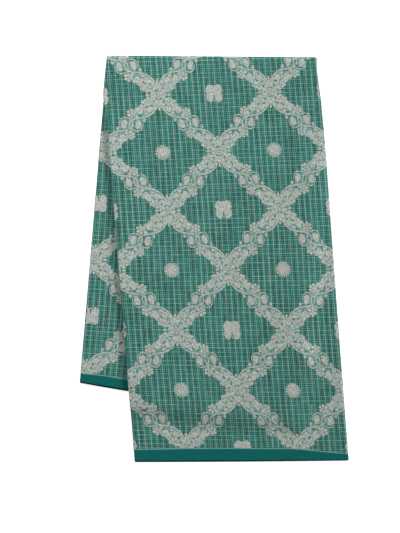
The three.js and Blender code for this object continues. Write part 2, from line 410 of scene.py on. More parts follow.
def back_from_lattice(column, row):
    at = clamp_to(row, BACK_ROWS[0][0], BACK_ROWS[-1][0])
    beside = COLUMN_PITCH * (column - BACK_MIDDLE)
    down = between(BACK_ROWS, 1, at) - ROW_PITCH * (row - at) + BACK_TILT * beside
    left, right = back_sides(down)
    x = between(BACK_ROWS, 2, at) + beside
    return STRIP * (x - left) / (right - left), down


def lattice_from_back(across, down):
    left, right = back_sides(down)
    x = lerp(left, right, across / STRIP)
    row = (BACK_ROWS[3][1] - down) / ROW_PITCH
    for _ in range(5):
        at = clamp_to(row, BACK_ROWS[0][0], BACK_ROWS[-1][0])
        column = BACK_MIDDLE + (x - between(BACK_ROWS, 2, at)) / COLUMN_PITCH
        _, there = back_from_lattice(column, row)
        row -= (down - there) / ROW_PITCH
    return column, row


# %% [markdown]
# ## Node helpers
#
# The finishes are built from a handful of node recipes: a thread line that repeats at a pitch, a grain of
# noise, and a mix of two colours. Each helper adds its nodes and returns the socket to plug in next.

# %% Node helpers
UV_NAME = "cloth"


def new_material(name):
    material = bpy.data.materials.new(name)
    material.use_nodes = True
    material.node_tree.nodes.clear()
    return material


def add(tree, kind, **settings):
    node = tree.nodes.new("ShaderNode" + kind)
    for key, value in settings.items():
        setattr(node, key, value)
    return node


def plug(tree, source, target):
    if isinstance(source, (int, float, tuple)):
        target.default_value = source
    else:
        tree.links.new(source, target)


def maths(tree, operation, a, b=0.0, c=0.0):
    node = add(tree, "Math", operation=operation)
    for value, socket in zip((a, b, c), node.inputs):
        plug(tree, value, socket)
    return node.outputs[0]


def remap(tree, value, low, high, to_low=0.0, to_high=1.0, kind="SMOOTHSTEP"):
    node = add(tree, "MapRange", interpolation_type=kind)
    for item, socket in zip((value, low, high, to_low, to_high), node.inputs):
        plug(tree, item, socket)
    return node.outputs[0]


def mix_colours(tree, share, a, b):
    node = add(tree, "Mix", data_type="RGBA")
    plug(tree, share, node.inputs[0])
    plug(tree, a, node.inputs[6])
    plug(tree, b, node.inputs[7])
    return node.outputs[2]


def noise(tree, vector, scale, detail=2.0, stretch=(1, 1, 1)):
    mapping = add(tree, "Mapping")
    plug(tree, vector, mapping.inputs["Vector"])
    mapping.inputs["Scale"].default_value = stretch
    node = add(tree, "TexNoise")
    plug(tree, mapping.outputs[0], node.inputs["Vector"])
    node.inputs["Scale"].default_value = scale
    node.inputs["Detail"].default_value = detail
    return node.outputs[0]


def thread_lines(tree, place, pitch, width, soften, weakest):
    """Lines at a pitch, 1 on the thread and 0 between, each thread with a strength of its own."""
    count = maths(tree, "DIVIDE", place, pitch)
    beside = maths(tree, "ABSOLUTE", maths(tree, "SUBTRACT", maths(tree, "FRACT", count), 0.5))
    line = remap(tree, beside, (width + soften) / pitch / 2, width / pitch / 2)
    own = add(tree, "TexWhiteNoise", noise_dimensions="1D")
    plug(tree, maths(tree, "FLOOR", count), own.inputs["W"])
    strength = remap(tree, own.outputs[0], 0.0, 1.0, weakest, 1.0, "LINEAR")
    return maths(tree, "MULTIPLY", line, strength)


def across_and_along(tree, uv):
    split = add(tree, "SeparateXYZ")
    plug(tree, uv, split.inputs[0])
    return split.outputs[0], split.outputs[1]


def cloth_finish(name, paint, roughness, sheen, thread_height):
    """paint(tree, uv) returns the colour and how high the threads stand, from 0 to 1."""
    material = new_material(name)
    tree = material.node_tree
    colour, height = paint(tree, add(tree, "UVMap", uv_map=UV_NAME).outputs[0])
    bump = add(tree, "Bump")
    bump.inputs["Strength"].default_value = 1.0
    bump.inputs["Distance"].default_value = thread_height * MM
    plug(tree, height, bump.inputs["Height"])
    shader = add(tree, "BsdfPrincipled")
    plug(tree, colour, shader.inputs["Base Color"])
    plug(tree, bump.outputs[0], shader.inputs["Normal"])
    for socket, value in (
        ("Roughness", roughness),
        ("Sheen Weight", sheen),
        ("Sheen Roughness", 0.4),
        ("Specular IOR Level", 0.12),
    ):
        shader.inputs[socket].default_value = value
    plug(tree, shader.outputs[0], add(tree, "OutputMaterial").inputs["Surface"])
    return material


# %% [markdown]
# ## The checked field
#
# The field is a light weave of cotton and silk. Pale threads cross a deep teal ground in both directions
# and draw a small, regular check. Every third thread down the cloth is a stronger, softer one, which shows
# as a row of ticks where it passes over the weft, and every second thread across it is a little stronger.
# Each has a strength of its own and small slubs. Behind the trellis the floats of the brocade pass under
# the ground from one shape to the next and show through it as a pale veil, so a band along the lattice is
# lighter.

# %% Threads of the check
GROUND = (0.002, 0.05, 0.038, 1)
GROUND_LIGHT = (0.005, 0.1, 0.08, 1)
FINE_THREAD = (0.115, 0.355, 0.3, 1)
PALE_THREAD = (0.33, 0.57, 0.51, 1)
GREY_THREAD = (0.43, 0.49, 0.46, 1)
VEIL = (0.23, 0.34, 0.29, 1)
WARP_PITCH, WARP_WIDTH = 9.15 * MM, 1.5 * MM
FINE_WARP_PITCH, FINE_WARP_WIDTH = 3.05 * MM, 0.72 * MM
WEFT_PITCH, WEFT_WIDTH = 7.0 * MM, 0.6 * MM
FINE_WEFT_PITCH, FINE_WEFT_WIDTH = 3.5 * MM, 0.65 * MM
THREAD_EDGE, STRONG_EDGE = 0.5 * MM, 2.6 * MM  # how softly a thread ends at its sides
TICK_WIDTH, TICK_EDGE = 2.0 * MM, 2.4 * MM  # where a strong thread lies over the weft
STRONG_WEFT = 0.26  # how much a strong weft shows beside a strong warp
WANDER = 0.35 * MM  # how far a thread strays from its line
VEIL_REACH = (0.115, 0.05)  # share of a repeat from the arm's middle: no veil, full veil


def veil_band(tree, across, along):
    """1 along the arms of the lattice and 0 in the diamonds."""
    column = maths(tree, "DIVIDE", across, COLUMN_PITCH * MM)
    row = maths(tree, "DIVIDE", along, ROW_PITCH * MM)
    sides = []
    for operation in ("ADD", "SUBTRACT"):
        both = maths(tree, "ADD", maths(tree, operation, column, row), 0.5)
        sides.append(maths(tree, "ABSOLUTE", maths(tree, "SUBTRACT", maths(tree, "FRACT", both), 0.5)))
    return remap(tree, maths(tree, "MINIMUM", *sides), *VEIL_REACH)


def paint_field(tree, uv):
    def stretched(scale, detail, stretch, *levels):
        return remap(tree, noise(tree, uv, scale, detail, stretch), *levels)

    def strong_lines(place, pitch, fine_pitch, *line):
        """A strong thread lies on a fine one, so both grids start at the middle of a thread."""
        return thread_lines(tree, maths(tree, "ADD", place, (pitch - fine_pitch) / 2), pitch, *line)

    def times(*factors):
        product = factors[0]
        for factor in factors[1:]:
            product = maths(tree, "MULTIPLY", product, factor)
        return product

    flat_across, flat_along = across_and_along(tree, uv)
    wander = remap(tree, noise(tree, uv, 9.0), 0.0, 1.0, -WANDER, WANDER, "LINEAR")
    across = maths(tree, "ADD", flat_across, wander)
    along = maths(tree, "ADD", flat_along, wander)
    fine_down = thread_lines(tree, across, FINE_WARP_PITCH, FINE_WARP_WIDTH, THREAD_EDGE, 0.65)
    fine_across = thread_lines(tree, along, FINE_WEFT_PITCH, FINE_WEFT_WIDTH, THREAD_EDGE, 0.6)
    strong_down = strong_lines(across, WARP_PITCH, FINE_WARP_PITCH, WARP_WIDTH, STRONG_EDGE, 0.85)
    strong_across = strong_lines(along, WEFT_PITCH, FINE_WEFT_PITCH, WEFT_WIDTH, STRONG_EDGE, 0.6)
    ticks = strong_lines(along, WEFT_PITCH, FINE_WEFT_PITCH, TICK_WIDTH, TICK_EDGE, 0.8)
    slub_down = stretched(300.0, 2.0, (1, 0.15, 1), 0.38, 0.62, 0.45, 1.0)
    slub_across = stretched(300.0, 2.0, (0.2, 1, 1), 0.38, 0.62, 0.35, 1.0)
    patchy = stretched(14.0, 2.0, (1.6, 1, 1), 0.35, 0.65, 0.34, 0.57)
    # A strong thread lies over one fine one and under the next, so it shows as a row of short ticks.
    over_weft = remap(tree, ticks, 0.0, 1.0, 0.55, 1.0, "LINEAR")
    fine = maths(tree, "MAXIMUM", times(fine_down, slub_down), times(fine_across, slub_across))
    strong_down = times(strong_down, over_weft, patchy)
    strong = maths(tree, "MAXIMUM", strong_down, times(strong_across, slub_across, STRONG_WEFT))
    cloud = stretched(75.0, 3.0, (1, 0.2, 1), 0.36, 0.64)
    ground = mix_colours(tree, cloud, GROUND, GROUND_LIGHT)
    streaks = stretched(280.0, 2.0, (0.4, 1, 1), 0.42, 0.58, 0.12, 0.85)
    ground = mix_colours(tree, times(veil_band(tree, flat_across, flat_along), streaks), ground, VEIL)
    greyish = stretched(110.0, 1.0, (1, 0.2, 1), 0.54, 0.66)
    colour = mix_colours(tree, fine, ground, FINE_THREAD)
    colour = mix_colours(tree, strong, colour, mix_colours(tree, greyish, PALE_THREAD, GREY_THREAD))
    return colour, maths(tree, "MAXIMUM", fine, strong)


# %% [markdown]
# ## The plain border
#
# The border is woven densely in one deep teal, with fine ribs along it and hardly any gloss.

# %% Border cloth
BORDER_TEAL = (0.002, 0.108, 0.1, 1)
BORDER_LIGHT = (0.003, 0.13, 0.12, 1)
RIB_PITCH = 0.8 * MM


def paint_border(tree, uv):
    _, along = across_and_along(tree, uv)
    ribs = thread_lines(tree, along, RIB_PITCH, 0.35 * MM, 0.4 * MM, 0.5)
    streak = remap(tree, noise(tree, uv, 500.0, 2.0, (0.08, 1, 1)), 0.3, 0.7)
    return mix_colours(tree, streak, BORDER_TEAL, BORDER_LIGHT), ribs


# %% [markdown]
# ## The brocade threads
#
# The trellis is an extra weft of pale, slightly metallic thread that floats over the ground. Seen close it
# is a bundle of short floats, so its finish is made of fine lines across the motif, brighter bundles that
# are painted highlights of the metallic thread, and tiny teal gaps where the ground shows between floats.
# The hearts of the flowers have more of a warm tint than the rest.

# %% Brocade thread
BROCADE = (0.395, 0.44, 0.4, 1)
# Painted highlight: the glint of the metallic floats, painted into the colour
BROCADE_HIGHLIGHT = (0.6, 0.66, 0.61, 1)
BROCADE_WARM = (0.5, 0.435, 0.415, 1)
BROCADE_GAP = (0.15, 0.25, 0.205, 1)
FLOAT_PITCH = 0.75 * MM


def paint_brocade(warmth):
    """warmth is the share of the bundles, from 0 to 1, that take the warm tint."""

    def paint(tree, uv):
        _, along = across_and_along(tree, uv)
        floats = thread_lines(tree, along, FLOAT_PITCH, 0.3 * MM, 0.4 * MM, 0.6)
        bundles = noise(tree, uv, 420.0, 2.0, (1, 0.7, 1))
        # Painted highlight: where the noise is high, bundles are painted brighter as glints of the metallic
        # thread
        painted_highlight = remap(tree, bundles, 0.5, 0.68)
        warm_from = lerp(0.62, 0.38, warmth)
        tint = remap(tree, noise(tree, uv, 120.0, 2.0), warm_from, warm_from + 0.14, 0.0, 0.8)
        gaps = remap(tree, bundles, 0.45, 0.32, 0.0, 0.85)
        colour = mix_colours(tree, painted_highlight, BROCADE, BROCADE_HIGHLIGHT)
        colour = mix_colours(tree, tint, colour, BROCADE_WARM)
        return mix_colours(tree, gaps, colour, BROCADE_GAP), floats

    return paint


# %% Cord of the border
CORD_COLOUR = (0.17, 0.39, 0.32, 1)


def paint_cord(tree, uv):
    """The line of paler threads that parts the field from the border."""
    across, _ = across_and_along(tree, uv)
    twist = thread_lines(tree, across, 1.6 * MM, 0.7 * MM, 0.6 * MM, 0.6)
    worn = remap(tree, noise(tree, uv, 60.0, 2.0), 0.35, 0.7, 0.0, 0.7)
    return mix_colours(tree, worn, CORD_COLOUR, FINE_THREAD), twist


# %% Edges of the folded layers
def paint_layers(tree, uv):
    """Field cloth that turns to border cloth near the hems, where an attribute says so."""
    field, lines = paint_field(tree, uv)
    hem = add(tree, "Attribute", attribute_name="hem")
    return mix_colours(tree, hem.outputs["Fac"], field, paint_border(tree, uv)[0]), lines


# Columns: finish, paint, roughness, sheen, height of its threads in millimetres.
FINISHES = [
    ("field_cloth", paint_field, 0.85, 0.04, 0.12),
    ("border_cloth", paint_border, 0.8, 0.01, 0.08),
    ("brocade", paint_brocade(0.25), 0.6, 0.06, 0.08),
    ("brocade_warm", paint_brocade(0.6), 0.6, 0.06, 0.08),
    ("cord_thread", paint_cord, 0.75, 0.03, 0.15),
    ("layer_cloth", paint_layers, 0.85, 0.03, 0.1),
]
MATERIALS = {finish[0]: cloth_finish(*finish) for finish in FINISHES}
print("finishes:", ", ".join(MATERIALS))

# %% [markdown]
# ## Shells of cloth
#
# A stretch of cloth starts as a flat grid. Each vertex is then carried to its place on the surface, its
# pattern coordinates are written to a UV map, and a Solidify modifier gives the sheet its thickness,
# inwards.

# %% Cloth shell builder
SHELL = 0.45  # thickness of a seen layer
CLOSER_AT_SIDES = 0.125  # draws a grid's columns together towards the bights


def finish_object(name, bm, *finishes, smooth=True):
    mesh = bpy.data.meshes.new(name)
    bm.to_mesh(mesh)
    bm.free()
    for finish in finishes:
        mesh.materials.append(MATERIALS[finish])
    for polygon in mesh.polygons:
        polygon.use_smooth = smooth
    obj = bpy.data.objects.new(name, mesh)
    bpy.context.scene.collection.objects.link(obj)
    return obj


def solidify(obj, thickness):
    modifier = obj.modifiers.new("thickness", "SOLIDIFY")
    modifier.thickness = thickness * MM
    modifier.offset = -1
    return obj


def laid_grid(columns, rows, lattice, place):
    """A grid laid on the cloth: place(s, t) gives a vertex's places across and down, and its point.
    The UV map gets the cloth's own coordinates, in metres of woven cloth."""
    bm = bmesh.new()
    bmesh.ops.create_grid(bm, x_segments=columns, y_segments=rows, size=0.5)
    bm.verts.index_update()
    woven = {}
    for vertex in bm.verts:
        across, down, point = place(vertex.co.x + 0.5, 0.5 - vertex.co.y)
        column, row = lattice(across, down)
        woven[vertex.index] = (column * COLUMN_PITCH * MM, row * ROW_PITCH * MM)
        vertex.co = Vector(point) * MM
    uv_layer = bm.loops.layers.uv.new(UV_NAME)
    for face in bm.faces:
        for loop in face.loops:
            loop[uv_layer].uv = woven[loop.vert.index]
    return bm


def cloth_shell(name, fall_rows, cloth, columns, rows, material):
    """fall_rows(share, t) gives the distance down for t from 0 to 1."""
    surface, lattice, across_range = cloth

    def place(s, t):
        across = lerp(*across_range, s - CLOSER_AT_SIDES * math.sin(2 * math.pi * s))
        down = fall_rows(clamp_to(across / STRIP, 0, 1), t)
        return across, down, surface(across, down, 0)

    return solidify(finish_object(name, laid_grid(columns, rows, lattice, place), material), SHELL)


# %% [markdown]
# ## The front fall, the turn and the underside
#
# They are one layer of cloth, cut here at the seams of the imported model. The grid is fine enough, about 3
# mm, for the creases and for the bights at the sides.

# %% Shells of the outer layer and of the back fall's seen layer
LEAF_END = -0.9  # how far round the leaf side's bight the shell goes, as a place across
CLOSED_END = STRIP - CLOSED_ROLL + 7.6  # the same at the closed side
INNER_TOP = FOLD_RADIUS + LEAF_ROLL  # where the back fall's seen layer comes out of the turn
FRONT_LINE, BACK_LINE = border_at("front", 0.5), border_at("back", 0.5)
FRONT_END, BACK_END = drop_at(FRONT_DROP, 0.5), drop_at(BACK_DROP, 0.5)

# Each cloth: its surface, the lattice on it, and how far across it goes.
OUTER = (outer_point, lattice_from_front, (LEAF_END, CLOSED_END))
INNER = (inner_point, lattice_from_back, (LEAF_END, STRIP - CLOSED_ROLL))


def fall_rows(fall, start, end):
    """Rows of a fall between two places down its middle."""
    return lambda share, t: row_at(fall, share, lerp(start, end, t))


def turn_rows(share, t):
    return lerp(UNDER_START, FOLD_RADIUS, t)


def under_rows(start, end):
    return lambda share, t: around(row_at("back", share, lerp(end, start, t)))


outer = {}
for name, rows, cloth, columns, count, material in (
    ("front_field", fall_rows("front", FOLD_RADIUS, FRONT_LINE), OUTER, 140, 210, "field_cloth"),
    ("front_border", fall_rows("front", FRONT_LINE, FRONT_END - SEEN_SHORT), OUTER, 140, 10, "border_cloth"),
    ("fold_turn", turn_rows, OUTER, 140, 24, "field_cloth"),
    ("under_field", under_rows(FOLD_RADIUS, BACK_LINE), OUTER, 70, 60, "field_cloth"),
    ("under_border", under_rows(BACK_LINE, BACK_END), OUTER, 70, 6, "border_cloth"),
    ("back_field", fall_rows("back", INNER_TOP, BACK_LINE), INNER, 100, 150, "field_cloth"),
    ("back_border", fall_rows("back", BACK_LINE, BACK_END - SEEN_SHORT), INNER, 100, 8, "border_cloth"),
):
    outer[name] = cloth_shell(name + "_cloth", rows, cloth, columns, count, material)
    print(name, len(outer[name].data.polygons), "faces")

# %% [markdown]
# ## The folded layers between
#
# Sixteen layers lie between the table and the seen face of each fall. Only their edges show: rounded bights
# at the leaf side and thin selvedges, not quite level, at the hems. Each ribbon below is one doubled layer:
# a flattened tube that runs up the back fall, over the turn and down the front fall, as deep in the stack
# as it lies.

# %% Ribbons of folded cloth
RIBBON_COUNT = 7
RIBBON_GAP = 0.06
RIBBON_TOP, RIBBON_BOTTOM = 0.5, STACK
FRONT_ROOM, FRONT_ROOM_FROM = 1.1, 30  # left under the front fall's creases, in full this far down
RIBBON_FADE = 0.02  # that room closes towards the sides over this share of the strip
BACK_TOP, BACK_ROOM = 0.2, 0.16  # left under the back fall's seen layer: millimetres, share of the depth
UNDER_CLEAR = 0.05  # left over the underside's shell
HEM_BORDER = 17  # how far up a ribbon's hem is border cloth
rng = random.Random(11)


def ribbon_section(depth, thick, leaf, closed):
    """A closed outline across the strip: flat faces with a rounded bight at either side."""
    half = thick / 2
    outline = []
    for edge, side in ((closed, 1), (leaf, -1)):
        centre = edge - side * half
        for k in range(5):
            angle = math.pi * (0.5 - k / 4) if side > 0 else math.pi * (1.5 - k / 4)
            outline.append((centre + half * math.cos(angle), depth + half - half * math.sin(angle)))
        start, end = centre, (leaf + half if side > 0 else closed - half)
        face = depth + (thick if side > 0 else 0)
        for k in range(1, 14):
            outline.append((lerp(start, end, (1 - math.cos(math.pi * k / 14)) / 2), face))
    return outline


def stack_point(across, down, depth):
    """A place on a ribbon, with room above for the creases and, on the back fall, for its seen layer."""
    share = across / STRIP
    inside = ease(share, 0, RIBBON_FADE) * ease(share, 1, 1 - RIBBON_FADE)
    if down < UNDER_START:
        lowest = STACK - SHELL - REST_CLEAR - UNDER_CLEAR
        depth = min(depth * (STACK - 2 * SHELL) / STACK + BACK_TOP, lowest)
        depth *= 1 - BACK_ROOM * inside
    else:
        depth += FRONT_ROOM * inside * (1 - depth / STACK) * ease(down, FOLD_RADIUS, FRONT_ROOM_FROM)
    return in_stack(share, down, depth)


def add_ribbon(bm, index, hem_layer):
    pitch = (RIBBON_BOTTOM - RIBBON_TOP) / RIBBON_COUNT
    depth = RIBBON_TOP + index * pitch
    thick = pitch - RIBBON_GAP
    leaf_reach, closed_reach = rng.uniform(-0.6, 0.5), rng.uniform(0.6, 1.4)
    front_short, back_short = rng.uniform(0.0, 1.9), rng.uniform(0.0, 1.9)
    phase = rng.uniform(0, 6)
    front_end = FRONT_END - front_short
    stations = [FOLD_RADIUS + (front_end - FOLD_RADIUS) * k / 60 for k in range(60, -1, -1)]
    stations += [FOLD_RADIUS - TURN_LENGTH * k / 10 for k in range(1, 11)]
    back_end = BACK_END - back_short
    stations += [UNDER_START - (back_end - FOLD_RADIUS) * k / 24 for k in range(1, 25)]
    count = len(ribbon_section(depth, thick, 0, STRIP))
    grid = bmesh.ops.create_grid(bm, x_segments=count, y_segments=len(stations) - 1, size=0.5)
    for vertex in grid["verts"]:
        s, t = round((vertex.co.x + 0.5) * count), round((0.5 - vertex.co.y) * (len(stations) - 1))
        down = stations[t]
        wave = 0.35 * math.sin(down / 47 + phase) + 0.2 * math.sin(down / 19 + 2 * phase)
        outline = ribbon_section(
            depth, thick, LEAF_ROLL * 0.25 - leaf_reach + wave, STRIP - closed_reach - abs(wave)
        )
        across, deep = outline[s % count]
        fall_down = down
        if down >= FOLD_RADIUS:
            fall_down = row_at("front", across / STRIP, down)
        elif down < UNDER_START:
            fall_down = around(row_at("back", across / STRIP, around(down)))
        vertex.co = Vector(stack_point(across, fall_down, deep)) * MM
        from_hem = FRONT_END - down if down > 0 else BACK_END - around(down)
        vertex[hem_layer] = 1.0 if from_hem < HEM_BORDER else 0.0


def folded_layers():
    bm = bmesh.new()
    hem_layer = bm.verts.layers.float.new("hem")
    for index in range(RIBBON_COUNT):
        add_ribbon(bm, index, hem_layer)
    bmesh.ops.remove_doubles(bm, verts=bm.verts, dist=0.0001 * MM)
    bmesh.ops.holes_fill(bm, edges=bm.edges, sides=0)
    bmesh.ops.recalc_face_normals(bm, faces=bm.faces)
    bm.verts.index_update()
    uv_layer = bm.loops.layers.uv.new(UV_NAME)
    for face in bm.faces:
        for loop in face.loops:
            loop[uv_layer].uv = (loop.vert.co.x, loop.vert.co.y)
    return finish_object("folded_layers", bm, "layer_cloth")


layers = folded_layers()
print("folded layers:", len(layers.data.polygons), "faces")

# %% [markdown]
# ## The brocade trellis
#
# The trellis is a traditional diamond lattice: a round rosette at each crossing, and between two crossings
# an arm of small flowers and leaves on a curling stem, which ends round a drop past the arm's middle. Half
# an arm is drawn in a cell of the lattice with a few shapes, turned and mirrored into the other arms, and
# then repeated over the cloth. In every other diamond sits a daisy, and in the rest a four-lobed blossom.
# Each shape is a flat piece that is carried to the surface and made a quarter of a millimetre thick, like
# the float of thread that it stands for.


# %% Shapes of the motif, flat and in millimetres
LEVELS = {"petal": 0.0, "disc": 0.04, "stem": 0.08}  # where shapes cross, one lies over the other


def place(bm, verts, x, y, turn=0.0, scale=(1, 1), level="petal"):
    height = LEVELS[level] + len(bm.verts) * 7 % 25 * 0.001  # no two shapes that cross lie equally high
    matrix = Matrix.Translation((x, y, height)) @ Matrix.Rotation(math.radians(turn), 4, "Z")
    matrix = matrix @ Matrix.Diagonal((*scale, 1, 1))
    bmesh.ops.transform(bm, matrix=matrix, verts=verts)
    return verts


def warm(verts):
    """Gives the faces of these vertices the warmer thread."""
    for vertex in verts:
        for face in vertex.link_faces:
            face.material_index = 1


def disc(bm, x, y, radius, sides=8):
    verts = bmesh.ops.create_circle(bm, cap_ends=True, segments=sides, radius=radius)["verts"]
    return place(bm, verts, x, y, level="disc")


def petal(bm, x, y, length, width, turn, sides=8, root=0.55):
    """A leaf or petal along its length, narrowed to a share of its width at its root."""
    verts = bmesh.ops.create_circle(bm, cap_ends=True, segments=sides, radius=0.5)["verts"]
    for vertex in verts:
        vertex.co.y *= lerp(root, 1.15, min(vertex.co.x + 0.5, 0.8) / 0.8)
    return place(bm, verts, x, y, turn, (length, width))


def whorl(bm, x, y, count, inner, reach, fullness=0.9, turn=0.0, sides=8, root=0.55):
    """Petals in a ring."""
    middle = (inner + reach) / 2
    width = 2 * math.pi * middle / count * fullness
    verts = []
    for k in range(count):
        angle = turn + 360 * k / count
        cx = x + middle * math.cos(math.radians(angle))
        cy = y + middle * math.sin(math.radians(angle))
        verts += petal(bm, cx, cy, reach - inner, width, angle, sides, root)
    return verts


def flower(bm, x, y, radius, turn=0.0):
    """A small flower: six round petals about an eye."""
    whorl(bm, x, y, 6, radius * 0.26, radius, 1.0, turn + 30, 9, 0.6)
    warm(disc(bm, x, y, radius * 0.27, 6))


def strand(bm, points, width, steps=10, taper=0.5):
    """A stem: a strip along a smooth curve through a few points."""
    rows = [(k, *point) for k, point in enumerate(points)]
    last = len(points) - 1
    verts = bmesh.ops.create_grid(bm, x_segments=steps, y_segments=1, size=0.5)["verts"]
    for vertex in verts:
        t = vertex.co.x + 0.5
        side = vertex.co.y * width * lerp(1, taper, abs(2 * t - 1) ** 2)
        at, ahead = t * last, min(t * last + 0.05, last)
        behind = max(ahead - 0.1, 0)
        dx = between(rows, 1, ahead) - between(rows, 1, behind)
        dy = between(rows, 2, ahead) - between(rows, 2, behind)
        long = math.hypot(dx, dy) or 1
        vertex.co.x = between(rows, 1, at) - side * dy / long
        vertex.co.y = between(rows, 2, at) + side * dx / long
    return place(bm, verts, 0, 0, level="stem")


def curl(bm, x, y, rx, ry, start, end, width, turn=0.0, steps=9):
    """A strip along part of an ellipse, thin at its ends."""
    verts = bmesh.ops.create_grid(bm, x_segments=steps, y_segments=1, size=0.5)["verts"]
    for vertex in verts:
        t = vertex.co.x + 0.5
        angle = math.radians(lerp(start, end, t))
        side = vertex.co.y * width * (1 - 0.6 * (2 * t - 1) ** 4)
        vertex.co.x = (rx + side) * math.cos(angle)
        vertex.co.y = (ry + side) * math.sin(angle)
    return place(bm, verts, x, y, turn, level="stem")


# %% One arm of the trellis
HALF = (COLUMN_PITCH / 2, ROW_PITCH / 2)
# From the foot of the crossing at the arm's upper left to the ring at its middle; x right, y down.
STEM = [
    (-44.2, -36.8),
    (-41.6, -28.8),
    (-37.6, -21.8),
    (-31.6, -16.0),
    (-24.5, -12.4),
    (-16.5, -10.6),
    (-9.0, -9.8),
    (-3.6, -7.8),
    (0.4, -5.0),
]
# The other half's stem goes on past the ring, under the drop and up its outer side.
CURL = [(4.0, 7.2), (-0.6, 9.2), (-5.0, 11.2), (-9.6, 11.8), (-13.8, 9.6), (-16.6, 5.0), (-17.4, -1.0)]


def half_arm(bm):
    flower(bm, -28.7, -36.4, 7.8, 8)
    flower(bm, -2.0, -18.0, 7.8, 0)
    # The upright leaf between the two flowers, and the broad leaf that curls out of the stem.
    petal(bm, -16.0, -25.0, 18.4, 10.2, 70, 12, 0.5)
    warm(petal(bm, -15.4, -21.6, 6.0, 4.6, 66, 8))
    petal(bm, -30.8, -24.0, 12.6, 9.8, 20, 12, 0.7)
    curl(bm, -30.6, -24.2, 9.4, 8.4, -84, 62, 1.8)
    curl(bm, -31.6, -25.4, 8.6, 6.8, 170, 262, 1.5)
    # Smaller leaves that fill the arm between them.
    for x, y, length, width, turn in (
        (-40.8, -35.2, 9.4, 5.8, 56),
        (-37.4, -43.6, 7.4, 5.4, 20),
        (-37.8, -27.8, 6.4, 4.2, 74),
        (-24.2, -16.8, 8.2, 4.8, 16),
        (-20.2, -36.0, 7.0, 5.0, -60),
        (-23.4, -30.8, 6.4, 4.6, 40),
        (-8.8, -13.4, 6.8, 4.2, 16),
        (-9.4, -25.2, 5.6, 4.2, 62),
        (-23.0, -23.0, 5.0, 3.4, 80),
    ):
        petal(bm, x, y, length, width, turn)
    strand(bm, STEM, 2.5, 20, 0.75)
    petal(bm, -21.0, -6.6, 6.8, 4.4, 80)
    # The drop, the curl round it, and half the ring at the arm's middle.
    warm(petal(bm, -11.0, 0.6, 15.6, 9.4, 76, 14, 0.72))
    strand(bm, CURL, 1.8, 14, 0.5)
    curl(bm, 0, 0, 2.9, 6.6, 80, 280, 1.9, -10)


def arm(bm):
    """Both halves: the second is the first one turned half round the middle."""
    before = set(bm.verts)
    half_arm(bm)
    first = [v for v in bm.verts if v not in before]
    known = set(first)
    geometry = first + [e for e in bm.edges if e.verts[0] in known]
    geometry += [f for f in bm.faces if f.verts[0] in known]
    copy = bmesh.ops.duplicate(bm, geom=geometry)["geom"]
    turned = [g for g in copy if isinstance(g, bmesh.types.BMVert)]
    bmesh.ops.rotate(bm, verts=turned, cent=(0, 0, 0), matrix=Matrix.Rotation(math.pi, 3, "Z"))
    bmesh.ops.translate(bm, verts=turned, vec=(0, 0, 0.0035))
    everything = first + turned
    bmesh.ops.translate(bm, verts=everything, vec=(HALF[0] / 2, HALF[1] / 2, 0))
    return everything


# %% Rosettes, daisies and blossoms
def rosette(bm, x, y):
    """The round flower at a crossing: an eye, two rings of petals, and tufts above and below."""
    disc(bm, x, y, 2.2)
    warm(whorl(bm, x, y, 8, 2.4, 7.4, 0.98, 0, 8))
    whorl(bm, x, y, 14, 7.8, 12.8, 0.9, 6, 8, 0.75)
    for side in (-1, 1):
        petal(bm, x, y + side * 16.6, 6.8, 5.4, 90 * side)
        petal(bm, x, y + side * 22.6, 6.6, 4.0, 90 * side)
        for hand in (-1, 1):
            petal(bm, x + hand * 5.8, y + side * 15.0, 5.8, 3.6, side * (90 - hand * 34))
            petal(bm, x + hand * 4.0, y + side * 20.6, 5.4, 3.2, side * (90 - hand * 40))
        outwards = 90 - 90 * side
        petal(bm, x + side * 16.6, y, 6.6, 4.4, outwards)
        for hand in (-1, 1):
            petal(bm, x + side * 15.2, y + hand * 6.6, 6.0, 3.8, outwards + 22 * side * hand)


def daisy(bm, x, y):
    warm(disc(bm, x, y, 7.2, 14))
    whorl(bm, x, y, 17, 5.4, 12.6, 0.88, 0, 8, 0.7)


SCALLOPS = 22


def blossom(bm, x, y):
    """Four full lobes grown together, scalloped all round and parted by a slit below."""
    for dx, dy, turn, length, width in (
        (-6.2, -6.6, 78, 15.6, 12.8),
        (6.6, -7.2, 102, 14.8, 12.4),
        (-6.6, 6.2, 270, 16.2, 10.8),
        (6.9, 6.0, 270, 16.8, 11.6),
    ):
        petal(bm, x + dx, y + dy, length, width, turn, 14, 0.95)
    hearts = ((0, -6.9, 6.6), (0, -3.0, 6.0), (-7.4, -1.6, 5.0), (7.2, -2.2, 4.6), (7.0, 5.6, 3.8))
    for dx, dy, radius in hearts:
        warm(disc(bm, x + dx, y + dy, radius, 12))
    for k in range(SCALLOPS):
        angle = math.radians((k + 0.5) * 360 / SCALLOPS)
        right, low = math.cos(angle), math.sin(angle)
        edge_x = math.copysign(abs(right) ** 0.6, right) * 12.4
        edge_y = math.copysign(abs(low) ** 0.6, low) * (13.4 if abs(right) > 0.2 else 11.8)
        disc(bm, x + edge_x, y + edge_y, 1.7, 6)


# %% One repeat of the lattice
def lattice_cell():
    """Crossings at a corner and at the middle, four arms, a daisy and a blossom."""
    bm = bmesh.new()
    for mirror_x in (1, -1):
        for mirror_y in (1, -1):
            verts = arm(bm)
            bmesh.ops.scale(bm, verts=verts, vec=(mirror_x, mirror_y, 1))
    rosette(bm, 0, 0)
    rosette(bm, *HALF)
    daisy(bm, 0, HALF[1])
    blossom(bm, HALF[0], 0)
    # Seen from above, x runs right and y down, so a face that is to point up winds the other way.
    downward = [f for f in bm.faces if winding(f) > 0]
    bmesh.ops.reverse_faces(bm, faces=downward)
    mesh = bpy.data.meshes.new("lattice_cell")
    bm.to_mesh(mesh)
    bm.free()
    return mesh


